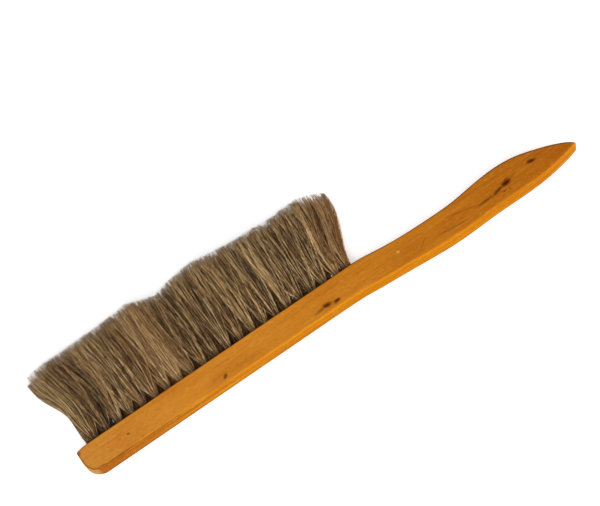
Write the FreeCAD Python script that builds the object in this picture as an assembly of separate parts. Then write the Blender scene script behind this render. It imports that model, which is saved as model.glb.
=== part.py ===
# Bee brush: a one-piece wooden stock whose head carries two staggered rows of horsehair tufts.
# Each tuft is folded round a flat wire anchor at the bottom of a blind hole in the head's edge.
# The brush lies on its broad side: +X runs from toe to handle tip, +Y along the hair, +Z up.
# The origin is the middle of the bounding box, at the bottom. All lengths are in millimetres.
import FreeCAD, Part
import math
import os
from FreeCAD import Vector

# Stock, measured from the toe end (x) and from the head's hair edge (y).
THICKNESS = 13.5
HEAD_HEIGHT = 21.8
TOE_RADIUS = 11.5
CORNER_RADIUS = 1.6
CORNER_SLOPE = math.radians(12)
HEAD_EDGE_START = 12.0
HEAD_EDGE_END = 231.0
SPINE_STRAIGHT_END = 205.0
HAIR_SIDE_ROUND = 1.2
GRIP_ROUND = 1.8
UPPER_HANDLE = [
    (HEAD_EDGE_END, 0.0),
    (250.0, -1.9),
    (272.0, -3.9),
    (296.0, -4.5),
    (315.0, -4.0),
    (333.0, -1.8),
    (352.0, -0.5),
    (368.0, -1.8),
    (384.0, -6.3),
    (398.0, -11.7),
    (407.6, -17.1),
]
HANDLE_TIP = (410.0, -19.8)
LOWER_HANDLE = [
    (406.6, -21.1),
    (396.0, -23.6),
    (380.0, -26.0),
    (356.0, -26.8),
    (330.0, -27.0),
    (306.0, -27.8),
    (286.0, -27.0),
    (262.0, -25.0),
    (236.0, -23.0),
    (SPINE_STRAIGHT_END, -HEAD_HEIGHT),
]

# Hair: two rows of tufts, the upper row set half a pitch nearer the handle.
TUFTS_PER_ROW = 22
PITCH = 10.1
FIRST_TUFT_X = 11.5
ROW_SPACING = 5.4
ROW_REACH = (TUFTS_PER_ROW - 1) * PITCH
HOLE_RADIUS = 2.3
HOLE_DEPTH = 13.0
DRILL_POINT = 1.0
ROOT_RADIUS = 2.25
ROOT_CLEARANCE = 0.3

# How the tips fan out: the toe end leans to -X near its tips, the handle end to +X all along.
TOE_FLARE = 8.5
TOE_FLARE_POWER = 2.2
TOE_BEND = 1.7
HANDLE_FLARE = 9.5
HANDLE_FLARE_POWER = 6
HANDLE_BEND = 0.75
TIP_GAP = 0.3
UPPER_TIP_Z = (9.3, 18.6)
LOWER_TIP_Z = (0.2, 9.0)

# A tuft's sections: round at the root, fullest at the shoulder, trimmed a little smaller on top.
FLARE_POWER = 0.85
MIDDLE_SHARE = 0.45
SHOULDER_DROP = 4.0
TRIMMED_END = 0.82
ROOT_SQUARENESS = 2.0
TIP_SQUARENESS = 3.2
SECTION_POINTS = 16

# The trimmed ends of the hair, from toe to handle: tip place along x, height above the head.
TRIM_LINE = [
    (-2.0, 61.0),
    (2.0, 64.5),
    (9.0, 66.6),
    (58.0, 67.4),
    (75.0, 68.2),
    (84.3, 69.6),
    (93.0, 66.8),
    (102.6, 61.4),
    (110.5, 64.0),
    (124.5, 66.6),
    (136.8, 68.4),
    (149.0, 67.0),
    (163.0, 64.4),
    (207.0, 62.1),
    (224.0, 63.6),
    (236.0, 61.6),
    (243.0, 57.5),
]

# Flat wire anchors: each one crosses a hole and bites into the wood on both sides.
ANCHOR_LENGTH = 6.2
ANCHOR_WIDTH = 2.0
ANCHOR_THICKNESS = 0.4
ANCHOR_ABOVE_FLOOR = 1.4


def spline(points, start_direction, end_direction):
    """An edge through points in the z = 0 plane, with its directions at both ends."""
    curve = Part.BSplineCurve()
    curve.interpolate(
        Points=[Vector(x, y, 0) for x, y in points],
        InitialTangent=Vector(*start_direction, 0),
        FinalTangent=Vector(*end_direction, 0),
    )
    return curve.toShape()


def line(a, b):
    return Part.makeLine(Vector(*a, 0), Vector(*b, 0))


def arc_at(centre, radius, start, end):
    """An arc by its centre, its radius and its two angles in degrees."""
    places = []
    for degrees in (start, (start + end) / 2, end):
        angle = math.radians(degrees)
        places.append(Vector(centre[0] + radius * math.cos(angle), centre[1] + radius * math.sin(angle), 0))
    return Part.Arc(*places).toShape()


def corner_centre():
    """The centre of the toe's hair-side corner, from which the edge eases up to the head."""
    exit_x = CORNER_RADIUS * (1 - math.sin(CORNER_SLOPE))
    exit_y = -(HEAD_EDGE_START - exit_x) * math.tan(CORNER_SLOPE / 2)
    return CORNER_RADIUS, exit_y - CORNER_RADIUS * math.cos(CORNER_SLOPE)


def stock_outline():
    """The closed outline of the stock, clockwise from the toe corner, smooth at every joint."""
    corner = corner_centre()
    toe_centre = (TOE_RADIUS, TOE_RADIUS - HEAD_HEIGHT)
    slope = (math.cos(CORNER_SLOPE), math.sin(CORNER_SLOPE))
    exit_point = (corner[0] - CORNER_RADIUS * slope[1], corner[1] + CORNER_RADIUS * slope[0])
    into_tip = (0.76, -0.65)
    out_of_tip = (-0.95, -0.31)
    return Part.Wire(
        [
            arc_at(corner, CORNER_RADIUS, 180, 90 + math.degrees(CORNER_SLOPE)),
            spline([exit_point, (HEAD_EDGE_START, 0)], slope, (1, 0)),
            line((HEAD_EDGE_START, 0), (HEAD_EDGE_END, 0)),
            spline(UPPER_HANDLE, (1, 0), into_tip),
            spline([UPPER_HANDLE[-1], HANDLE_TIP, LOWER_HANDLE[0]], into_tip, out_of_tip),
            spline(LOWER_HANDLE, out_of_tip, (-1, 0)),
            line((SPINE_STRAIGHT_END, -HEAD_HEIGHT), (TOE_RADIUS, -HEAD_HEIGHT)),
            arc_at(toe_centre, TOE_RADIUS, 270, 180),
            line((0, toe_centre[1]), (0, corner[1])),
        ]
    )


def edge_round(edge):
    """The rounding radii at an outline edge's two ends: small beside the hair, larger on the grip."""

    def radius_at(place):
        beside_hair = place.x < HEAD_EDGE_END + 0.01 and place.y > corner_centre()[1] - 0.01
        return HAIR_SIDE_ROUND if beside_hair else GRIP_ROUND

    first = radius_at(edge.valueAt(edge.FirstParameter))
    last = radius_at(edge.valueAt(edge.LastParameter))
    return first, last


def rounded_blank():
    """The stock before drilling, with its long edges rounded on both broad faces."""
    blank = Part.Face(stock_outline()).extrude(Vector(0, 0, THICKNESS))
    document = FreeCAD.newDocument("stock")
    base = document.addObject("Part::Feature", "Blank")
    base.Shape = blank
    fillet = document.addObject("Part::Fillet", "Rounded")
    fillet.Base = base
    chosen = []
    for number, edge in enumerate(base.Shape.Edges, 1):
        if abs(edge.BoundBox.ZMax - edge.BoundBox.ZMin) < 0.01:
            chosen.append((number, *edge_round(edge)))
    fillet.Edges = chosen
    document.recompute()
    return fillet.Shape


def row_places():
    """(row, number, x, z, tip z range) of every tuft, row by row."""
    middle = THICKNESS / 2
    rows = [
        ("upper", FIRST_TUFT_X + PITCH / 2, middle + ROW_SPACING / 2, UPPER_TIP_Z),
        ("lower", FIRST_TUFT_X, middle - ROW_SPACING / 2, LOWER_TIP_Z),
    ]
    for row, first_x, z, tip_z in rows:
        for i in range(TUFTS_PER_ROW):
            yield row, i + 1, first_x + i * PITCH, z, tip_z


def tip_x(root_x):
    """Where along x the middle of a tuft's tip lies."""
    along = (root_x - FIRST_TUFT_X) / ROW_REACH
    to_toe = TOE_FLARE * max(0, 1 - along) ** TOE_FLARE_POWER
    to_handle = HANDLE_FLARE * max(0, along) ** HANDLE_FLARE_POWER
    return root_x - to_toe + to_handle


def trim_height(x):
    """Height of the trimmed hair at x, straight between the points of TRIM_LINE."""
    x = min(max(x, TRIM_LINE[0][0]), TRIM_LINE[-1][0])
    for (x0, y0), (x1, y1) in zip(TRIM_LINE, TRIM_LINE[1:]):
        if x <= x1:
            return y0 + (y1 - y0) * (x - x0) / (x1 - x0)


def section(x, y, z, half_x, half_z, squareness):
    """A closed wire at height y: a circle at squareness 2, closer to a rectangle above it."""
    places = []
    for i in range(SECTION_POINTS):
        turn = 2 * math.pi * i / SECTION_POINTS
        c, s = math.cos(turn), math.sin(turn)
        reach = (abs(c) ** squareness + abs(s) ** squareness) ** (-1 / squareness)
        places.append(Vector(x + half_x * reach * c, y, z + half_z * reach * s))
    curve = Part.BSplineCurve()
    curve.interpolate(Points=places, PeriodicFlag=True)
    return Part.Wire([curve.toShape()])


def tuft(root_x, root_z, tip_z):
    """One bundle of hair: its folded root in the hole, and its flared, trimmed length outside."""
    end_x = tip_x(root_x)
    end_z = (tip_z[0] + tip_z[1]) / 2
    half_x = (tip_x(root_x + PITCH / 2) - tip_x(root_x - PITCH / 2) - TIP_GAP) / 2
    half_z = (tip_z[1] - tip_z[0]) / 2
    bend = TOE_BEND if end_x < root_x else HANDLE_BEND
    top = trim_height(end_x)

    def at(share, size=1.0):
        flare = share**FLARE_POWER
        return section(
            root_x + (end_x - root_x) * share**bend,
            share * top,
            root_z + (end_z - root_z) * flare,
            (ROOT_RADIUS + (half_x - ROOT_RADIUS) * flare) * size,
            (ROOT_RADIUS + (half_z - ROOT_RADIUS) * flare) * size,
            ROOT_SQUARENESS + (TIP_SQUARENESS - ROOT_SQUARENESS) * share,
        )

    foot = at(0.0)
    shoulder = at(1 - SHOULDER_DROP / top)
    flared = Part.makeLoft([foot, at(MIDDLE_SHARE), shoulder], True, False)
    trimmed = Part.makeLoft([shoulder, at(1.0, TRIMMED_END)], True, True)
    root = Part.Face(foot).extrude(Vector(0, ROOT_CLEARANCE - HOLE_DEPTH, 0))
    return flared.fuse([trimmed, root]).removeSplitter()


def anchor(root_x, root_z):
    """The flat wire that a tuft is folded round."""
    corner = Vector(
        root_x - ANCHOR_LENGTH / 2,
        ANCHOR_ABOVE_FLOOR - HOLE_DEPTH,
        root_z - ANCHOR_THICKNESS / 2,
    )
    return Part.makeBox(ANCHOR_LENGTH, ANCHOR_WIDTH, ANCHOR_THICKNESS, corner)


def hole(root_x, root_z):
    """A blind hole from the head's hair edge, with the drill's point at its bottom."""
    inwards = Vector(0, -1, 0)
    bore = Part.makeCylinder(HOLE_RADIUS, HOLE_DEPTH, Vector(root_x, 0, root_z), inwards)
    point = Part.makeCone(HOLE_RADIUS, 0, DRILL_POINT, Vector(root_x, -HOLE_DEPTH, root_z), inwards)
    return bore.fuse(point)


def build():
    """Every node of the brush by name, in the outline's own coordinates."""
    nodes = {}
    anchors = {"upper": [], "lower": []}
    cutters = []
    for row, number, x, z, tip_z in row_places():
        wire = anchor(x, z)
        nodes[f"tuft_{row}_{number:02d}"] = tuft(x, z, tip_z).cut(wire)
        anchors[row].append(wire)
        cutters += [hole(x, z), wire]
    nodes["wooden_stock"] = rounded_blank().cut(cutters)
    for row, wires in anchors.items():
        nodes[f"anchor_wires_{row}_row"] = Part.makeCompound(wires)
    return nodes


def main():
    nodes = build()
    box = Part.makeCompound(list(nodes.values())).optimalBoundingBox(False)
    to_origin = Vector(-box.Center.x, -box.Center.y, -box.ZMin)
    os.makedirs("parts", exist_ok=True)
    for name, shape in nodes.items():
        shape.translate(to_origin)
        if not shape.isValid():
            raise ValueError(f"{name} isn't a valid shape")
        shape.exportStep(f"parts/{name}.step")
    print("brush", [round(v, 2) for v in (box.XLength, box.YLength, box.ZLength)])
    print("moved by", [round(v, 3) for v in to_origin], "nodes", len(nodes))


main()
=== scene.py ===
"""The looks of a bee brush: a lacquered one-piece wooden stock and two rows of horsehair tufts.

Lengths are in metres. MM turns a length in millimetres into metres.
"""
import math

import bpy
import numpy as np
from mathutils import Matrix, Vector


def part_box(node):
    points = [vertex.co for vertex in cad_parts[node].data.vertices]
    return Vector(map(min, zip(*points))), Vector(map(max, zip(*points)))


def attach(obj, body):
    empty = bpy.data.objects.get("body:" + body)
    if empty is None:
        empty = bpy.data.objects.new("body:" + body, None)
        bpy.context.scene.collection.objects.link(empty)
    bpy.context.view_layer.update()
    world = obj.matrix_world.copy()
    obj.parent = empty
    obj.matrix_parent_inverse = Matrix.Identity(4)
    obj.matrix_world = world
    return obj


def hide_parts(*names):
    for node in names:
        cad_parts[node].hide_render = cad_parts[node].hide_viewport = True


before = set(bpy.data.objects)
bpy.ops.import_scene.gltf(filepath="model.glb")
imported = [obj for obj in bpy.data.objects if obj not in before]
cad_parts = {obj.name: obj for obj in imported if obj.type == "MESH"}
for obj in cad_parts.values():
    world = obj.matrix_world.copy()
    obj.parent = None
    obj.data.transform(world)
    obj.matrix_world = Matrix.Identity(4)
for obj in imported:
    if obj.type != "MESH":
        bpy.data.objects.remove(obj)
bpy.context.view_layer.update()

MM = 0.001
STOCK_LOW, STOCK_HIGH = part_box("wooden_stock")
TOE_X, EDGE_Y = STOCK_LOW[0], STOCK_HIGH[1]
FACE_Z = STOCK_HIGH[2]


def on_stock(x_mm, y_mm, z=FACE_Z):
    """A place given from the toe end and from the head's hair edge, in millimetres."""
    return Vector((TOE_X + x_mm * MM, EDGE_Y + y_mm * MM, z))


# ---------------------------------------------------------------- node helpers

class Nodes:
    """A short way to write one material's node tree."""

    def __init__(self, name):
        self.material = bpy.data.materials.new(name)
        self.material.use_nodes = True
        self.tree = self.material.node_tree
        self.tree.nodes.clear()
        self.shader = self.add("ShaderNodeBsdfPrincipled")
        output = self.add("ShaderNodeOutputMaterial")
        self.tree.links.new(self.shader.outputs["BSDF"], output.inputs["Surface"])

    def add(self, kind, **settings):
        node = self.tree.nodes.new(kind)
        for key, value in settings.items():
            setattr(node, key, value)
        return node

    def feed(self, socket, value):
        if isinstance(value, bpy.types.NodeSocket):
            self.tree.links.new(value, socket)
        else:
            socket.default_value = value

    def math(self, operation, a, b=0.0, clamp=False):
        node = self.add("ShaderNodeMath", operation=operation, use_clamp=clamp)
        self.feed(node.inputs[0], a)
        self.feed(node.inputs[1], b)
        return node.outputs[0]

    def mix(self, share, a, b, blend="MIX"):
        node = self.add("ShaderNodeMix", data_type="RGBA", blend_type=blend)
        self.feed(node.inputs["Factor"], share)
        self.feed(node.inputs["A"], a if isinstance(a, bpy.types.NodeSocket) else (*a, 1.0))
        self.feed(node.inputs["B"], b if isinstance(b, bpy.types.NodeSocket) else (*b, 1.0))
        return node.outputs["Result"]

    def span(self, value, low, high, to_low=0.0, to_high=1.0):
        node = self.add("ShaderNodeMapRange", interpolation_type="SMOOTHSTEP")
        for socket, number in zip(node.inputs, (value, low, high, to_low, to_high)):
            self.feed(socket, number)
        return node.outputs[0]

    def place(self, scale=(1.0, 1.0, 1.0), shift=(0.0, 0.0, 0.0)):
        """Object coordinates, moved by shift and then scaled along each axis."""
        coordinates = self.add("ShaderNodeTexCoord")
        moved = self.add("ShaderNodeVectorMath", operation="ADD")
        self.tree.links.new(coordinates.outputs["Object"], moved.inputs[0])
        moved.inputs[1].default_value = shift
        scaled = self.add("ShaderNodeVectorMath", operation="MULTIPLY")
        self.tree.links.new(moved.outputs[0], scaled.inputs[0])
        scaled.inputs[1].default_value = scale
        return scaled.outputs[0]

    def noise(self, place, scale=1.0, detail=3.0, roughness=0.5, distortion=0.0):
        node = self.add("ShaderNodeTexNoise")
        self.feed(node.inputs["Vector"], place)
        node.inputs["Scale"].default_value = scale
        node.inputs["Detail"].default_value = detail
        node.inputs["Roughness"].default_value = roughness
        node.inputs["Distortion"].default_value = distortion
        return node.outputs["Fac"]

    def ramp(self, value, stops):
        node = self.add("ShaderNodeValToRGB")
        self.feed(node.inputs["Fac"], value)
        elements = node.color_ramp.elements
        while len(elements) < len(stops):
            elements.new(0.5)
        for element, (position, colour) in zip(elements, stops):
            element.position = position
            element.color = (*colour, 1.0)
        return node.outputs["Color"]

    def bump(self, height, distance, strength=1.0, under=None):
        node = self.add("ShaderNodeBump")
        node.inputs["Strength"].default_value = strength
        node.inputs["Distance"].default_value = distance
        self.feed(node.inputs["Height"], height)
        if under is not None:
            self.tree.links.new(under, node.inputs["Normal"])
        return node.outputs["Normal"]

    def finish(self, **sockets):
        for name, value in sockets.items():
            self.feed(self.shader.inputs[name.replace("_", " ")], value)
        return self.material


def linear(red, green, blue):
    """A colour from 0 to 255 as seen on screen, as linear light."""
    def one(value):
        value /= 255
        return value / 12.92 if value <= 0.04045 else ((value + 0.055) / 1.055) ** 2.4
    return one(red), one(green), one(blue)


# ---------------------------------------------------------------- wood

FACE_TINTS = [
    # share of the brush's length from the toe, colour of the broad face
    (0.0, linear(203, 133, 52)),
    (0.2, linear(209, 133, 42)),
    (0.55, linear(197, 121, 30)),
    (0.8, linear(184, 107, 20)),
    (1.0, linear(166, 90, 10)),
]
# Colour of the spine side along the length: a deeper orange than the face, darker toward the toe as
# painted shade.
SPINE_TINTS_AND_SHADE = [
    (0.0, linear(156, 84, 16)),
    (0.14, linear(168, 98, 20)),
    (0.3, linear(190, 118, 14)),
    (0.6, linear(191, 116, 2)),
    (1.0, linear(184, 110, 4)),
]
MARKS = [
    # x, y from the toe and the hair edge; half length, half width; degrees off x; darkness; depth
    (352.8, -15.3, 4.6, 2.5, 8.0, 1.0, 9.0),
    (358.5, -14.0, 4.5, 0.8, 12.0, 0.3, 3.0),
    (345.0, -17.0, 6.5, 1.3, 12.0, 0.75, 3.0),
    (334.0, -18.2, 8.0, 1.0, 2.0, 0.6, 3.0),
    (315.0, -14.4, 14.0, 0.8, -13.0, 0.25, 3.0),
    (304.0, -21.0, 13.0, 0.9, -6.0, 0.3, 3.0),
    (376.6, -12.5, 4.2, 1.5, -6.0, 0.9, 6.0),
    (199.8, -15.8, 4.2, 1.9, -10.0, 0.9, 9.0),
    (194.0, -16.4, 6.0, 1.2, 8.0, 0.5, 3.0),
    (207.2, -17.2, 2.9, 1.7, 8.0, 0.9, 9.0),
    (114.0, -17.0, 2.6, 1.3, 40.0, 0.75, 3.0),
    (37.0, -11.6, 1.3, 0.8, 0.0, 0.65, 3.0),
    (348.6, -20.4, 1.8, 0.7, 0.0, 0.7, 3.0),
    (352.5, -20.9, 1.1, 0.6, 0.0, 0.5, 3.0),
    (24.0, -21.0, 18.0, 0.7, 0.0, 0.6, 3.0),
    (10.5, -20.6, 5.0, 1.0, -8.0, 0.5, 3.0),
    (60.0, -21.3, 26.0, 0.45, 0.0, 0.45, 3.0),
    (1.2, -3.4, 1.6, 2.2, -40.0, 0.5, 6.0),
    (279.9, -17.9, 6.0, 0.35, 35.0, 0.4, 3.0),
]
STAINS = [
    # x, y; half length, half width; strength
    (268.0, -14.0, 17.0, 7.0, 0.3),
    (300.0, -18.0, 24.0, 5.0, 0.2),
    (345.0, -16.5, 20.0, 5.0, 0.26),
    (378.0, -11.0, 13.0, 5.0, 0.4),
    (322.0, -6.0, 16.0, 3.0, 0.22),
    (201.0, -16.0, 13.0, 4.5, 0.26),
    (396.0, -18.0, 14.0, 6.0, 0.24),
    (236.0, -8.0, 15.0, 3.5, 0.16),
    (112.0, -15.0, 12.0, 4.0, 0.14),
]
DENTS = [
    # x, y; half length, half width
    (262.1, -12.9, 1.1, 0.9),
]
SPINE_DARK = linear(150, 78, 6)
SPINE_LIGHT = linear(240, 168, 40)
RING = linear(166, 92, 14)
STREAK = linear(140, 74, 12)
FIBRE = linear(222, 156, 70)
CLOUD = linear(176, 98, 18)
SPECK = linear(128, 66, 12)
MOTTLE_DARK = linear(150, 82, 16)
MOTTLE_LIGHT = linear(232, 162, 72)
STAIN = linear(130, 66, 10)
KNOT = linear(74, 26, 8)
BARE_WOOD = linear(238, 178, 92)
DARK_FILM_AND_SHADE = linear(92, 46, 10)
SPINE_EDGE_HIGHLIGHT = linear(240, 164, 34)
TOE_HIGHLIGHT = linear(236, 180, 118)


def far_from(n, x, y, half_x, half_y, depth, turn=0.0):
    """Distance from a place on the top face, 1 at the half sizes and the depth."""
    local = n.add("ShaderNodeMapping", vector_type="TEXTURE")
    n.feed(local.inputs["Vector"], n.add("ShaderNodeTexCoord").outputs["Object"])
    local.inputs["Location"].default_value = on_stock(x, y)
    local.inputs["Rotation"].default_value = (0, 0, math.radians(turn))
    local.inputs["Scale"].default_value = (half_x * MM, half_y * MM, depth * MM)
    reach = n.add("ShaderNodeVectorMath", operation="LENGTH")
    n.feed(reach.inputs[0], local.outputs[0])
    return reach.outputs["Value"]


def marks(n, wobble):
    """Darkness of the knots, their smears along the grain and the worn spots."""
    dark = None
    for x, y, half_x, half_y, turn, strength, depth in MARKS:
        reach = n.math("ADD", far_from(n, x, y, half_x, half_y, depth, turn), wobble)
        spot = n.span(reach, 0.75, 1.8, strength, 0.0)
        dark = spot if dark is None else n.math("MAXIMUM", dark, spot)
    return dark


def stains(n, wobble):
    """Soft brown clouds in the lacquer."""
    brown = None
    for x, y, half_x, half_y, strength in STAINS:
        reach = n.math("ADD", far_from(n, x, y, half_x, half_y, 10.0), wobble)
        cloud = n.span(reach, 0.2, 1.9, strength, 0.0)
        brown = cloud if brown is None else n.math("ADD", brown, cloud, clamp=True)
    return brown


def dark_rims(n, facing):
    """Where the lacquer is thickest: the edge on the hair side, round the toe and below, with painted
    shade on the hair-side edge and on the edges facing down.
    """
    upright = n.span(n.math("ABSOLUTE", facing.outputs["Z"]), 0.05, 0.3)
    # The hair-side edge: a darker film of lacquer together with painted shade.
    hair_rim = n.math("MULTIPLY", n.span(facing.outputs["Y"], 0.12, 0.5), upright)
    toe_rim = n.span(facing.outputs["X"], -0.5, -0.1, 1, 0)
    toe_rim = n.math("MULTIPLY", toe_rim, n.span(facing.outputs["Z"], 0.75, 0.95, 1, 0))
    toe_rim = n.math("MULTIPLY", toe_rim, n.span(facing.outputs["Z"], 0.35, 0.6))
    # Painted shade on the rounded edges that face down.
    shaded_low_rim = n.math(
        "MULTIPLY",
        n.span(facing.outputs["Z"], -0.4, -0.05, 1, 0),
        n.span(facing.outputs["Z"], -0.98, -0.9),
    )
    return n.math("MAXIMUM", n.math("MAXIMUM", hair_rim, toe_rim), shaded_low_rim)


def lacquered_wood():
    n = Nodes("lacquered_wood")
    axes = n.add("ShaderNodeSeparateXYZ")
    n.feed(axes.inputs[0], n.place())
    along = n.math("DIVIDE", n.math("SUBTRACT", axes.outputs["X"], TOE_X), STOCK_HIGH[0] - TOE_X)
    facing = n.add("ShaderNodeSeparateXYZ")
    n.feed(facing.inputs[0], n.add("ShaderNodeNewGeometry").outputs["Normal"])

    # Long soft bands of the growth rings, bent a little, and fine fibres over them.
    bend = n.noise(n.place((9, 30, 30)), 1.0, 2.0)
    ring_place = n.add("ShaderNodeVectorMath", operation="MULTIPLY_ADD")
    n.feed(ring_place.inputs[0], n.place((1.2, 46, 30)))
    ring_place.inputs[1].default_value = (1, 1, 1)
    n.feed(ring_place.inputs[2], n.math("MULTIPLY", bend, 2.4))
    rings = n.noise(ring_place.outputs[0], 1.0, 3.0, 0.55)
    fibres = n.noise(n.place((26, 900, 900)), 1.0, 4.0, 0.6)
    streaks = n.noise(n.place((14, 330, 330), (0.3, 0, 0)), 1.0, 3.0, 0.6)
    clouds = n.noise(n.place((22, 60, 60), (0, 0, 0.2)), 1.0, 3.0)
    specks = n.noise(n.place((170, 900, 900), (0.1, 0, 0)), 1.0, 2.0)

    # The spine side is cut along the grain: a deeper orange with long light and dark streaks, darkened
    # toward the toe as painted shade where it curves away from the light.
    spine = n.span(facing.outputs["Y"], -0.75, -0.3, 1.0, 0.0)
    bands = n.noise(n.place((7, 60, 420), (0, 0.4, 0)), 1.0, 3.0, 0.55)
    side = n.ramp(along, SPINE_TINTS_AND_SHADE)
    side = n.mix(n.span(bands, 0.5, 0.72, 0, 0.55), side, SPINE_DARK)
    side = n.mix(n.span(bands, 0.28, 0.46, 0.45, 0), side, SPINE_LIGHT)
    colour = n.mix(spine, n.ramp(along, FACE_TINTS), side)

    colour = n.mix(n.span(rings, 0.4, 0.66, 0, 0.3), colour, RING)
    colour = n.mix(n.span(streaks, 0.5, 0.72, 0, 0.3), colour, STREAK)
    fibre_share = n.math("MULTIPLY", n.span(fibres, 0.45, 0.75, 0, 0.25), n.span(spine, 0, 1, 1, 0.3))
    colour = n.mix(fibre_share, colour, FIBRE)
    colour = n.mix(n.span(clouds, 0.45, 0.7, 0, 0.3), colour, CLOUD)
    colour = n.mix(n.span(specks, 0.68, 0.8, 0, 0.45), colour, SPECK)

    mottle = n.noise(n.place((260, 520, 520), (0, 0.1, 0)), 1.0, 3.0, 0.6)
    colour = n.mix(n.span(mottle, 0.5, 0.72, 0, 0.24), colour, MOTTLE_DARK)
    colour = n.mix(n.span(mottle, 0.3, 0.48, 0.18, 0), colour, MOTTLE_LIGHT)

    cloud_wobble = n.math("MULTIPLY", n.noise(n.place((70, 140, 70)), 1.0, 3.0), 1.1)
    colour = n.mix(stains(n, cloud_wobble), colour, STAIN)
    wobble = n.math("MULTIPLY", n.noise(n.place((300, 700, 300)), 1.0, 2.0), 0.9)
    dark = marks(n, wobble)
    colour = n.mix(dark, colour, KNOT)
    for x, y, half_x, half_y in DENTS:
        pale = n.span(far_from(n, x, y, half_x, half_y, 3.0), 0.6, 1.4, 0.6, 0.0)
        colour = n.mix(pale, colour, BARE_WOOD)

    # The rounded edges hold a darker film of lacquer, with painted shade on the hair-side edge and on
    # the edges facing down, while the top edge of the spine gets a painted highlight in streaks.
    patchy = n.span(n.noise(n.place((60, 60, 60)), 1.0, 3.0), 0.35, 0.65, 0.5, 0.95)
    film_and_shade = dark_rims(n, facing)
    colour = n.mix(n.math("MULTIPLY", film_and_shade, patchy), colour, DARK_FILM_AND_SHADE)
    # Painted highlight in streaks along the top edge of the spine.
    edge_highlight = n.math(
        "MULTIPLY",
        n.span(facing.outputs["Z"], 0.25, 0.5),
        n.span(facing.outputs["Y"], -0.75, -0.3, 1, 0),
    )
    edge_highlight_streaks = n.math("MULTIPLY", edge_highlight, n.span(bands, 0.35, 0.6, 0.0, 0.35))
    colour = n.mix(edge_highlight_streaks, colour, SPINE_EDGE_HIGHLIGHT)
    # Painted highlight on the side of the toe and its lower rounding.
    toe_highlight = n.math(
        "MULTIPLY",
        n.span(facing.outputs["X"], -0.6, -0.2, 1, 0),
        n.span(facing.outputs["Z"], 0.0, 0.4, 1, 0),
    )
    colour = n.mix(n.math("MULTIPLY", toe_highlight, 0.5), colour, TOE_HIGHLIGHT)

    roughness = n.span(clouds, 0.3, 0.7, 0.36, 0.5)
    roughness = n.math("ADD", roughness, n.math("MULTIPLY", dark, 0.2))
    pores = n.bump(fibres, 0.05 * MM, 0.35)
    waves = n.bump(n.noise(n.place((30, 70, 70)), 1.0, 2.0), 0.5 * MM, 0.3, pores)
    pits = n.bump(n.math("MULTIPLY", dark, -1.0), 0.3 * MM, 0.5, waves)
    return n.finish(
        Base_Color=colour,
        Roughness=roughness,
        Normal=pits,
        Specular_IOR_Level=0.0,
        Coat_Weight=0.03,
        Coat_Roughness=0.2,
    )


WIRE_DARK = (0.32, 0.32, 0.31)
WIRE_LIGHT = (0.62, 0.61, 0.59)
RUST = (0.2, 0.09, 0.04)


def drawn_wire():
    n = Nodes("drawn_wire")
    scratches = n.noise(n.place((120, 3000, 3000)), 1.0, 3.0)
    colour = n.mix(scratches, WIRE_DARK, WIRE_LIGHT)
    rust = n.span(n.noise(n.place((700, 700, 700)), 1.0, 3.0), 0.6, 0.75, 0, 0.4)
    colour = n.mix(rust, colour, RUST)
    return n.finish(
        Base_Color=colour,
        Metallic=1.0,
        Roughness=n.span(scratches, 0.3, 0.7, 0.3, 0.5),
        Normal=n.bump(scratches, 0.02 * MM, 0.4),
    )


# ---------------------------------------------------------------- hair

HAIR_TONES = [
    (0.0, linear(48, 35, 24)),
    (0.3, linear(108, 80, 47)),
    (0.55, linear(156, 118, 72)),
    (0.8, linear(208, 165, 106)),
    (1.0, linear(246, 212, 156)),
]
GOLDEN_HAIR = linear(172, 114, 56)
PALE_TIP = linear(202, 172, 134)
SHADED_ROOT = linear(44, 40, 32)


def horsehair():
    """Hair whose looks come from its mesh: red is tone with painted shade toward the roots, green is
    share of length, blue is warmth.
    """
    n = Nodes("horsehair")
    strand = n.add("ShaderNodeAttribute", attribute_name="strand")
    parts = n.add("ShaderNodeSeparateColor")
    n.feed(parts.inputs[0], strand.outputs["Color"])
    tone, length_share, warmth = parts.outputs
    along = n.noise(n.place((500, 70, 500)), 1.0, 2.0)
    fine = n.span(n.noise(n.place((1500, 110, 1500)), 1.0, 2.0), 0.36, 0.64)
    tone = n.math("ADD", tone, n.math("MULTIPLY", n.math("SUBTRACT", along, 0.5), 0.3))
    tone = n.math("ADD", tone, n.math("MULTIPLY", n.math("SUBTRACT", fine, 0.5), 0.4), clamp=True)
    colour = n.ramp(tone, HAIR_TONES)
    colour = n.mix(n.math("MULTIPLY", warmth, 0.55), colour, GOLDEN_HAIR)
    # The hairs grow paler toward their tips.
    colour = n.mix(n.span(length_share, 0.86, 1.0, 0, 0.5), colour, PALE_TIP)
    colour = n.mix(n.span(length_share, 0.0, 0.1, 0.5, 0), colour, SHADED_ROOT)
    scales = n.noise(n.place((9000, 2500, 9000)), 1.0, 2.0)
    return n.finish(
        Base_Color=colour,
        Roughness=n.span(scales, 0.3, 0.7, 0.42, 0.6),
        Normal=n.bump(scales, 0.01 * MM, 0.3),
        Specular_IOR_Level=0.4,
    )


IN_HOLE = 2 * MM
TIP_BAND = 5 * MM


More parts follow.
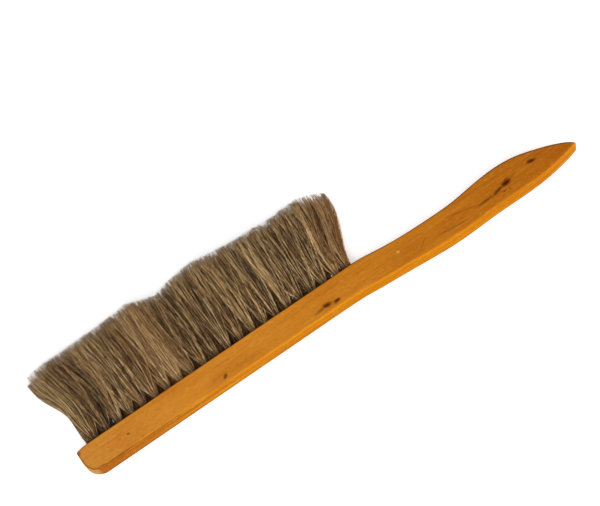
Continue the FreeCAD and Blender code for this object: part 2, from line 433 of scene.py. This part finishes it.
class Tuft:
    """Where one bundle of hair goes, read from its CAD solid."""

    def __init__(self, node):
        self.node = node
        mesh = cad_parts[node].data
        places = np.empty(len(mesh.vertices) * 3)
        mesh.vertices.foreach_get("co", places)
        places = places.reshape(-1, 3)
        root = places[places[:, 1] < EDGE_Y - IN_HOLE]
        self.top = places[:, 1].max() - EDGE_Y
        shoulder = places[places[:, 1] > EDGE_Y + self.top - TIP_BAND]
        self.root = (root.min(0) + root.max(0)) / 2
        self.root_radius = (root[:, 0].max() - root[:, 0].min()) / 2
        self.tip = (shoulder.min(0) + shoulder.max(0)) / 2
        self.tip_half = (shoulder.max(0) - shoulder.min(0)) / 2
        self.lean = self.tip[0] - self.root[0]


def row_of_tufts(row):
    names = sorted(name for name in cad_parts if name.startswith(f"tuft_{row}"))
    return [Tuft(name) for name in names]


UPPERS = row_of_tufts("upper")
LOWERS = row_of_tufts("lower")
PITCH = float(np.median(np.diff([tuft.root[0] for tuft in UPPERS])))

# The two ends of the hair: where its roots and its tips stop, with room for stray hairs.
ROOM_AT_ROOTS = 0.6 * MM
ROOM_AT_TOE_TIPS = 2.2 * MM
TIPS_LEFT = min(tuft.tip[0] - tuft.tip_half[0] for tuft in UPPERS + LOWERS) - ROOM_AT_TOE_TIPS
TIPS_RIGHT = max(tuft.tip[0] + tuft.tip_half[0] for tuft in UPPERS + LOWERS)
ROOTS_LEFT = min(tuft.root[0] - tuft.root_radius for tuft in UPPERS + LOWERS) - ROOM_AT_ROOTS
ROOTS_RIGHT = max(tuft.root[0] + tuft.root_radius for tuft in UPPERS + LOWERS) + ROOM_AT_ROOTS
RIGHT_BULGE = 1.8 * MM
FULL_LEAN = 6 * MM

# Shares of the length over which the hair bends outwards: late at the toe, early at the handle.
TOE_BEND = (0.38, 1.0)
HANDLE_BEND = (0.05, 0.95)
HANDLE_END_BEND = (0.05, 0.92)

# A hair is drawn through STEPS_OUT places outside its hole. The openings say how soon a bundle fans out.
STEPS_OUT = 10
OUT_SHARES = np.linspace(0, 1, STEPS_OUT)
UPPER_OPENING = OUT_SHARES**0.74
LOWER_OPENING = OUT_SHARES**0.55
WISPS = 14
HAIRS = 160
HAIR_RADIUS = 0.115 * MM
TAPER = 0.45
ABOVE_FLOOR = HAIR_RADIUS * 1.4

# The wire lies between these depths below the hole's mouth. From a little above it the hairs turn
# aside, to be at least BESIDE_WIRE off its middle by its lower edge, and they fold a little under
# it. So hairs that start near the middle still cut its upper edge, inside the wood.
WIRE_TOP = 9.6 * MM
WIRE_BOTTOM = 11.6 * MM
ABOVE_WIRE = 1.5 * MM
BESIDE_WIRE = 0.35 * MM
UNDER_WIRE = 0.1 * MM

# Lighter and darker stretches of the hair, by where the tips lie, in millimetres from the toe: mostly
# the hair's own tone, such as the blond bundle at 80 to 90, with painted light at the toe end, where no
# hair stands before it, and painted shade on the overlapped bundle near 100.
STRETCHES = [
    (-5, 0.2), (2, 0.12), (8, -0.02), (14, -0.1),
    (30, -0.04), (44, 0.0), (56, -0.06), (62, -0.2), (69, -0.06), (76, 0.14),
    (80, 0.38), (90, 0.42),
    (95, -0.12), (100, -0.3), (106, -0.16), (114, -0.03),
    (128, 0.04), (146, -0.03), (165, -0.04), (185, 0.04), (205, 0.0),
    (222, 0.06), (234, 0.1), (245, 0.12),
]
WARM_STRETCHES = [
    (-5, 0.1), (60, 0.1), (78, 0.4), (92, 0.4), (100, 0.1), (215, 0.1), (232, 0.65), (245, 0.8),
]


def by_stretch(stretches, x):
    places, values = zip(*stretches)
    return np.interp((x - TOE_X) / MM, places, values)


def smoothstep(low, high, value):
    t = np.clip((value - low) / (high - low), 0, 1)
    return t * t * (3 - 2 * t)


def sideways(lean, opening):
    """How a tuft's lean grows along its length: with its row's opening, or bent if it leans far."""
    curved = smoothstep(*(TOE_BEND if lean < 0 else HANDLE_BEND), OUT_SHARES)
    strength = min(1, abs(lean) / FULL_LEAN)
    return opening * (1 - strength) + curved * strength


def between_ends(x, inset):
    """Keep hairs inside the two curved ends of the hair; inset is each hair's own distance from them."""
    left = ROOTS_LEFT + (TIPS_LEFT - ROOTS_LEFT) * smoothstep(*TOE_BEND, OUT_SHARES)
    right = ROOTS_RIGHT + (TIPS_RIGHT - ROOTS_RIGHT) * smoothstep(*HANDLE_END_BEND, OUT_SHARES)
    right = right + RIGHT_BULGE * np.sin(math.pi * OUT_SHARES)
    inset = inset[:, None] * np.minimum(1, 6 * OUT_SHARES)
    return np.clip(x, left + inset, right - inset)


def reach_of(tuft, fan):
    """Tips spread by about one pitch to both sides, but not past the two ends of the hair."""
    far = (0.85 + 0.06 * abs(tuft.lean) / MM) * PITCH
    left = min(far, tuft.tip[0] - TIPS_LEFT)
    right = min(far, TIPS_RIGHT - tuft.tip[0])
    return np.where(fan < 0, left, right) * fan


CROSSING_WISPS = 0.28
BRIGHT_WISPS = 0.28
DARK_WISPS = 0.34


def wisps_of(rng, tuft, side, base_tone):
    """Groups of hairs that run together, in one half of a tuft."""
    count = WISPS
    place = (np.arange(count) + rng.uniform(0.1, 0.9, count)) / count * 2 - 1
    out = rng.uniform(0.15, 0.95, count)
    root = np.stack([place * 0.98, side * np.sqrt(1 - 0.9 * place**2) * out], 1)
    root = root * tuft.root_radius * 0.9
    crossing = rng.uniform(0, 1, count) < CROSSING_WISPS
    anywhere = rng.uniform(-1, 1, count)
    fan = np.where(crossing, anywhere, np.clip(place + rng.normal(0, 0.22, count), -1.1, 1.1))
    height = rng.permutation(count) / (count - 1) + rng.normal(0, 0.05, count)
    height = side * np.clip(height, 0.0, 1.02)
    tip = np.stack([reach_of(tuft, fan), height * tuft.tip_half[2]], 1)

    kind = rng.uniform(0, 1, count)
    bright = rng.uniform(0.7, 1.0, count)
    middling = rng.uniform(0.34, 0.56, count)
    dark = rng.uniform(-0.05, 0.14, count)
    tone = np.where(kind < BRIGHT_WISPS, bright, middling)
    tone = np.where(kind > 1 - DARK_WISPS, dark, tone)
    tone = tone + base_tone + by_stretch(STRETCHES, tuft.tip[0] + tip[:, 0])
    warmth = by_stretch(WARM_STRETCHES, tuft.tip[0] + tip[:, 0]) + rng.normal(0, 0.16, count)

    bow = rng.normal(0, 1.0, (count, 2)) * (1.6 * MM, 0.7 * MM)
    length = rng.normal(0, 0.12 * MM, count)
    turns = rng.uniform(3, 7, count)
    phase = rng.uniform(0, 6.3, count)
    amount = rng.uniform(0.2, 0.8, count) * MM
    return root, tip, bow, tone, warmth, length, np.stack([turns, phase, amount], 1)


# Shares of a tuft's hairs. A loose hair leaves its wisp, and a stray one goes further still.
LOOSE_HAIRS = (0.66, 0.91)
BRIGHT_HAIRS = 0.17
BRIGHT_STRAYS = 0.5
DARK_HAIRS = 0.26
LOOSE_TONE = -0.14

# How far a hair's tip leaves its wisp, sideways and through the thickness, and how much more if
# it is loose or stray. The bow is the same for its middle.
TIP_SPREAD = (1.1 * MM, 0.7 * MM)
LOOSE_SPREAD = (3.2, 2.0)
STRAY_SPREAD = (6.0, 1.5)
OWN_BOW = (0.25 * MM, 0.18 * MM)
LOOSE_BOW = 3.2
STRAY_BOW = 6.0
MOUTH_SHARE = 0.95
BESIDE_MIDDLE = 0.08 * MM


def tones_of(rng, tone, base_tone, tip_x, loose, stray):
    """Each hair's own tone and thickness: most are near their wisp's, some are bright or dark."""
    tones = tone + rng.normal(0, 0.16, HAIRS) + LOOSE_TONE * loose
    kind = rng.uniform(0, 1, HAIRS)
    bright = (kind < BRIGHT_HAIRS) | stray & (kind < BRIGHT_STRAYS)
    dark = kind > 1 - DARK_HAIRS
    stretch = by_stretch(STRETCHES, tip_x)
    tones[bright] = rng.uniform(0.76, 1.0, bright.sum()) + base_tone + stretch[bright]
    tones[dark] = rng.uniform(-0.1, 0.14, dark.sum()) + stretch[dark]
    return tones, rng.uniform(0.7, 1.05, HAIRS) * np.where(bright | dark, 1.45, 1.0)


def hair_ends(rng, tuft, side, base_tone, row_opening):
    """Free ends of the hairs on one side of the wire, from the hole's mouth to the tips."""
    outermost = side * (tuft.root[2] - FACE_Z / 2) > 0
    root, tip, bow, tone, warmth, length, wave = wisps_of(rng, tuft, side, base_tone)
    group = rng.integers(0, WISPS, HAIRS)
    kind = rng.uniform(0, 1, HAIRS)
    loose = (kind > LOOSE_HAIRS[0]) & (kind < LOOSE_HAIRS[1])
    stray = kind >= LOOSE_HAIRS[1]
    open_root = rng.normal(0, 0.4 * MM, (HAIRS, 2))
    open_tip = rng.normal(0, 1.0, (HAIRS, 2)) * TIP_SPREAD
    open_tip[loose] *= LOOSE_SPREAD
    open_tip[stray] *= STRAY_SPREAD
    # Loose hairs end anywhere in the thickness, or near the surface where they are the outermost.
    surface = side * rng.uniform(0.7 if outermost else 0.0, 1.0, HAIRS) * tuft.tip_half[2]
    open_tip[loose | stray, 1] = (surface - tip[group][:, 1])[loose | stray]
    own_bow = rng.normal(0, 1.0, (HAIRS, 2)) * OWN_BOW
    own_bow[loose] *= LOOSE_BOW
    own_bow[stray] *= STRAY_BOW

    share = OUT_SHARES[None, :, None]
    opening = row_opening[None, :, None]
    centre = root[group][:, None] * (1 - opening) + tip[group][:, None] * opening
    gather = np.where((loose | stray)[:, None, None], share, share**2.3)
    path = centre + open_root[:, None] * (1 - share) + open_tip[:, None] * gather
    path += np.sin(math.pi * share) * (bow[group] + own_bow)[:, None]
    turns, phase, amount = wave[group].T[:, :, None]
    path[..., 0] += np.sin(OUT_SHARES * turns + phase) * amount * row_opening

    # Every hair's middle line passes the hole's mouth inside it, on its own side of the wire.
    mouth = path[:, 0]
    too_far = np.maximum(np.linalg.norm(mouth, axis=1) / (MOUTH_SHARE * tuft.root_radius), 1)
    path[:, 0] = mouth / too_far[:, None]
    path[:, 0, 1] = side * np.maximum(side * path[:, 0, 1], BESIDE_MIDDLE)

    path[..., 0] += tuft.lean * sideways(tuft.lean, row_opening)
    path[..., 1] += (tuft.tip[2] - tuft.root[2]) * row_opening

    along = between_ends(tuft.root[0] + path[..., 0], rng.exponential(0.5 * MM, HAIRS))
    tip_x = along[:, -1]
    reach = height_at(tip_x) + length[group] + rng.normal(0, 0.2 * MM, HAIRS)
    reach = reach - rng.exponential(0.4 * MM, HAIRS)
    points = np.empty((HAIRS, STEPS_OUT, 3))
    points[..., 0] = along
    points[..., 1] = EDGE_Y + OUT_SHARES * reach[:, None]
    points[..., 2] = tuft.root[2] + path[..., 1]
    tones, thickness = tones_of(rng, tone[group], base_tone, tip_x, loose, stray)
    return points, tones, warmth[group], thickness


def inside(points, root_z, side):
    """Two places down the hole: level with the wire's lower edge, and a little above the wire."""
    places = np.repeat(points[:, :1], 2, axis=1)
    places[:, 0, 1] = EDGE_Y - WIRE_BOTTOM
    places[:, 1, 1] = EDGE_Y - WIRE_TOP + ABOVE_WIRE
    apart = np.abs(places[:, 0, 2] - root_z)
    places[:, 0, 2] = root_z + side * np.maximum(apart, BESIDE_WIRE)
    return places


CORNERS = 3


def tube_corners(path, radius):
    """Three corners round every place of every hair."""
    tangent = np.gradient(path, axis=1)
    tangent /= np.linalg.norm(tangent, axis=2, keepdims=True)
    side = np.cross(tangent, (1.0, 0.0, 0.0))
    side /= np.linalg.norm(side, axis=2, keepdims=True)
    other = np.cross(tangent, side)
    corners = []
    for third in range(CORNERS):
        angle = (0.5 + third * 2 / CORNERS) * math.pi
        corners.append(path + radius[..., None] * (math.cos(angle) * other + math.sin(angle) * side))
    return np.stack(corners, axis=2).reshape(-1, 3)


def tube_faces(count, steps):
    """The sides of every tube as quads, and a triangle at each of its ends."""
    first = (np.arange(count) * steps * CORNERS)[:, None, None]
    ring = (np.arange(steps - 1) * CORNERS)[None, :, None]
    corner = np.arange(CORNERS)[None, None, :]
    a = first + ring + corner
    b = first + ring + (corner + 1) % CORNERS
    quads = np.stack([a, b, b + CORNERS, a + CORNERS], axis=-1).reshape(-1, 4)
    start = first[:, 0, 0]
    end = start + (steps - 1) * CORNERS
    root_caps = np.stack([start + 2, start + 1, start], 1)
    tip_caps = np.stack([end, end + 1, end + 2], 1)
    return quads, np.concatenate([root_caps, tip_caps])


def mesh_from(name, vertices, quads, caps):
    """A smooth mesh from its corners, its four-sided faces and its triangles."""
    mesh = bpy.data.meshes.new(name)
    mesh.vertices.add(len(vertices))
    mesh.vertices.foreach_set("co", vertices.ravel())
    loops = np.concatenate([quads.ravel(), caps.ravel()]).astype(np.int32)
    mesh.loops.add(len(loops))
    mesh.loops.foreach_set("vertex_index", loops)
    starts = np.concatenate([np.arange(len(quads)) * 4, len(quads) * 4 + np.arange(len(caps)) * 3])
    mesh.polygons.add(len(starts))
    mesh.polygons.foreach_set("loop_start", starts.astype(np.int32))
    mesh.polygons.foreach_set("use_smooth", np.ones(len(starts), dtype=bool))
    mesh.update()
    mesh.validate()
    return mesh


def tuft_mesh(tuft, seed, row_opening, base_tones, root_light):
    """Hairs folded in two round the wire at the bottom of the hole, each one a thin closed tube."""
    rng = np.random.default_rng(seed)
    over_base, under_base = base_tones
    over, over_tone, over_warmth, over_thickness = hair_ends(rng, tuft, 1, over_base, row_opening)
    under, under_tone, under_warmth, under_thickness = hair_ends(rng, tuft, -1, under_base, row_opening)

    fold = over[:, :1].copy()
    across = np.abs(over[:, 0, 2] - tuft.root[2])
    fold[:, 0, 1] = EDGE_Y - WIRE_BOTTOM - UNDER_WIRE - 0.45 * across
    fold[:, 0, 2] = tuft.root[2]
    into = inside(under, tuft.root[2], -1)[:, ::-1]
    path = np.concatenate([under[:, ::-1], into, fold, inside(over, tuft.root[2], 1), over], axis=1)
    path[..., 2] = np.maximum(path[..., 2], ABOVE_FLOOR)

    # Share of the length outside the hole, from 0 at the root to 1 at either tip.
    steps = path.shape[1]
    share = np.concatenate([OUT_SHARES[::-1], np.zeros(steps - 2 * STEPS_OUT), OUT_SHARES])
    low_half = (np.arange(steps) < steps // 2)[None]
    thickness = np.where(low_half, under_thickness[:, None], over_thickness[:, None])
    radius = HAIR_RADIUS * (1 - TAPER * share**3) * thickness
    name = tuft.node.replace("tuft", "hair")
    mesh = mesh_from(name, tube_corners(path, radius), *tube_faces(HAIRS, steps))

    colour = np.ones((HAIRS, steps, CORNERS, 4), dtype=np.float32)
    tones = np.where(low_half, under_tone[:, None], over_tone[:, None])
    warmths = np.where(low_half, under_warmth[:, None], over_warmth[:, None])
    shade_over, shade_under = root_light
    lit_under = smoothstep(-0.05, shade_under, share)
    lit_over = smoothstep(-0.05, shade_over, share)
    from_root = np.where(low_half, lit_under, lit_over)
    # Red is the hair's tone with painted shade: darkest at the roots and a little darker all the way
    # toward them.
    colour[..., 0] = np.clip(tones * (0.15 + 0.85 * from_root) * (0.88 + 0.12 * share), 0, 1)[..., None]
    colour[..., 1] = share[None, :, None]
    colour[..., 2] = np.clip(warmths, 0, 1)[..., None]
    layer = mesh.color_attributes.new("strand", "FLOAT_COLOR", "POINT")
    layer.data.foreach_set("color", colour.ravel())
    return mesh


# How each row opens, the tones of its hairs over and under the wire, darker on the two inner layers
# between the rows as painted shade, and the share of their length over which the shade at their roots
# fades.
ROWS = [
    (UPPERS, UPPER_OPENING, (0.06, -0.16), (0.02, 0.2)),
    (LOWERS, LOWER_OPENING, (-0.16, 0.0), (0.26, 0.2)),
]
# Nothing stands before the first tuft, so its hairs are in full light.
FIRST_TUFT = min(UPPERS + LOWERS, key=lambda tuft: tuft.root[0])
FIRST_TONES, FIRST_ROOT_LIGHT = (0.18, 0.08), (0.03, 0.1)

TRIM_PLACES = np.array([tuft.tip[0] for tuft in UPPERS])
TRIM_HEIGHTS = np.array([tuft.top for tuft in UPPERS])
TRIM_SPARE = 0.4 * MM
LEFT_ROUND, LEFT_DROP = 11 * MM, 4.0 * MM
RIGHT_ROUND, RIGHT_DROP = 12 * MM, 5.0 * MM


def height_at(x):
    """The trim line, rounded off at both ends of the hair."""
    past_left = np.clip((TIPS_LEFT + LEFT_ROUND - x) / LEFT_ROUND, 0, 1)
    past_right = np.clip((x - TIPS_RIGHT + RIGHT_ROUND) / RIGHT_ROUND, 0, 1)
    level = np.interp(x, TRIM_PLACES, TRIM_HEIGHTS) + TRIM_SPARE
    return level - LEFT_DROP * past_left**2.5 - RIGHT_DROP * past_right**2


def make_hair(material):
    for row, (tufts, row_opening, row_tones, row_root_light) in enumerate(ROWS):
        for i, tuft in enumerate(tufts):
            first = tuft is FIRST_TUFT
            tones = FIRST_TONES if first else row_tones
            root_light = FIRST_ROOT_LIGHT if first else row_root_light
            mesh = tuft_mesh(tuft, 100 * row + i + 1, row_opening, tones, root_light)
            mesh.materials.append(material)
            piece = bpy.data.objects.new(mesh.name, mesh)
            bpy.context.scene.collection.objects.link(piece)
            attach(piece, "root")
            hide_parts(tuft.node)


# ---------------------------------------------------------------- stage, light and camera

FLOOR_REACH = 30.0
FLOOR_GLOW = 0.42
SKY_SEEN = 1.0
SKY_LIGHT = 0.3


def make_stage():
    mesh = bpy.data.meshes.new("floor")
    corners = [(x * FLOOR_REACH, y * FLOOR_REACH, 0) for x, y in ((-1, -1), (1, -1), (1, 1), (-1, 1))]
    mesh.from_pydata(corners, [], [(0, 1, 2, 3)])
    floor = bpy.data.objects.new("floor", mesh)
    bpy.context.scene.collection.objects.link(floor)
    n = Nodes("pale_floor")
    grain = n.noise(n.place((40, 40, 40)), 1.0, 2.0)
    colour = n.mix(grain, (0.88, 0.88, 0.88), (0.92, 0.92, 0.92))
    mesh.materials.append(
        n.finish(
            Base_Color=colour,
            Roughness=0.95,
            Specular_IOR_Level=0.1,
            Emission_Color=(1.0, 1.0, 1.0, 1.0),
            Emission_Strength=FLOOR_GLOW,
        )
    )


def area_light(name, place, size, power, target=(0, 0, 0)):
    light = bpy.data.lights.new(name, "AREA")
    light.shape = "RECTANGLE"
    light.size, light.size_y = size
    light.energy = power
    lamp = bpy.data.objects.new(name, light)
    lamp.location = place
    lamp.rotation_euler = (Vector(target) - Vector(place)).to_track_quat("-Z", "Y").to_euler()
    bpy.context.scene.collection.objects.link(lamp)


def make_lights():
    world = bpy.data.worlds.new("studio")
    world.use_nodes = True
    tree = world.node_tree
    background = tree.nodes["Background"]
    background.inputs["Color"].default_value = (1, 1, 1, 1)
    # White where the camera sees it, much weaker as a light.
    path = tree.nodes.new("ShaderNodeLightPath")
    strength = tree.nodes.new("ShaderNodeMapRange")
    strength.inputs["To Min"].default_value = SKY_LIGHT
    strength.inputs["To Max"].default_value = SKY_SEEN
    tree.links.new(path.outputs["Is Camera Ray"], strength.inputs["Value"])
    tree.links.new(strength.outputs[0], background.inputs["Strength"])
    bpy.context.scene.world = world
    area_light("overhead", (-0.5, -0.8, 1.7), (1.4, 1.0), 22)
    area_light("key", (0.9, -0.95, 0.6), (0.7, 0.5), 11)


CAMERA_AZIMUTH = math.radians(-14)
CAMERA_ELEVATION = math.radians(65)
CAMERA_ROLL = math.radians(21.367)
CAMERA_DISTANCE = 1.4
CAMERA_LENS = 119.464
CAMERA_TARGET = on_stock(206.54, 28.52)


def make_camera():
    level = math.cos(CAMERA_ELEVATION)
    back = Vector(
        (math.sin(CAMERA_AZIMUTH) * level, -math.cos(CAMERA_AZIMUTH) * level, math.sin(CAMERA_ELEVATION))
    )
    right = back.cross(Vector((0, 0, 1))) * -1
    right.normalize()
    up = back.cross(right)
    c, s = math.cos(CAMERA_ROLL), math.sin(CAMERA_ROLL)
    right, up = c * right - s * up, s * right + c * up
    data = bpy.data.cameras.new("camera")
    data.lens = CAMERA_LENS
    camera = bpy.data.objects.new("camera", data)
    turned = Matrix((right, up, back)).transposed().to_4x4()
    camera.matrix_world = Matrix.Translation(CAMERA_TARGET + CAMERA_DISTANCE * back) @ turned
    bpy.context.scene.collection.objects.link(camera)
    bpy.context.scene.camera = camera


def main():
    bpy.context.scene.view_settings.view_transform = "Standard"
    wood = lacquered_wood()
    wire = drawn_wire()
    for name, material in (
        ("wooden_stock", wood),
        ("anchor_wires_upper_row", wire),
        ("anchor_wires_lower_row", wire),
    ):
        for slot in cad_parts[name].material_slots:
            slot.link = "OBJECT"
            slot.material = material
    make_hair(horsehair())
    make_stage()
    make_lights()
    make_camera()


main()
